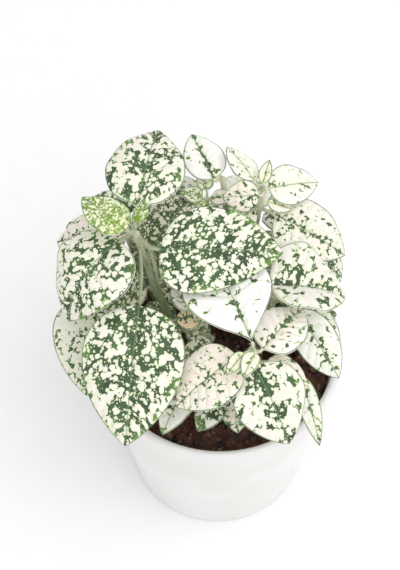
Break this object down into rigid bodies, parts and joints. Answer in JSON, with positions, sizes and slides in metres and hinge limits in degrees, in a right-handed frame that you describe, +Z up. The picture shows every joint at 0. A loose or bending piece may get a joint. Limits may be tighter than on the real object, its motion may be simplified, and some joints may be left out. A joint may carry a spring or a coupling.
{
  "type": "potted polka dot plant",
  "caption": "Bushy foliage house plant with green leaves splashed and spotted in cream and white, growing in a plain white tapered pot.",
  "frame": {"origin": "middle of the pot's flat base, in the plane it stands on", "axes": "+Z up along the pot's axis, -Y towards the side that the picture looks at, +X to the right in the picture"},
  "size_m": [0.1332, 0.1468, 0.1953],
  "materials": {
    "pot": "smooth white glaze",
    "soil": "dark crumbly potting soil",
    "foliage": "satin leaves, green with cream and white spots"
  },
  "bodies": {
    "root": {"pot": "pot", "soil": "soil", "shoot_left": "foliage", "shoot_front": "foliage", "shoot_upper_right": "foliage", "shoot_right": "foliage", "shoot_back": "foliage", "shoot_rosette": "foliage", "shoot_middle": "foliage", "shoot_low_left": "foliage", "shoot_rear_left": "foliage", "shoot_rear_right": "foliage"}
  },
  "joints": []
}
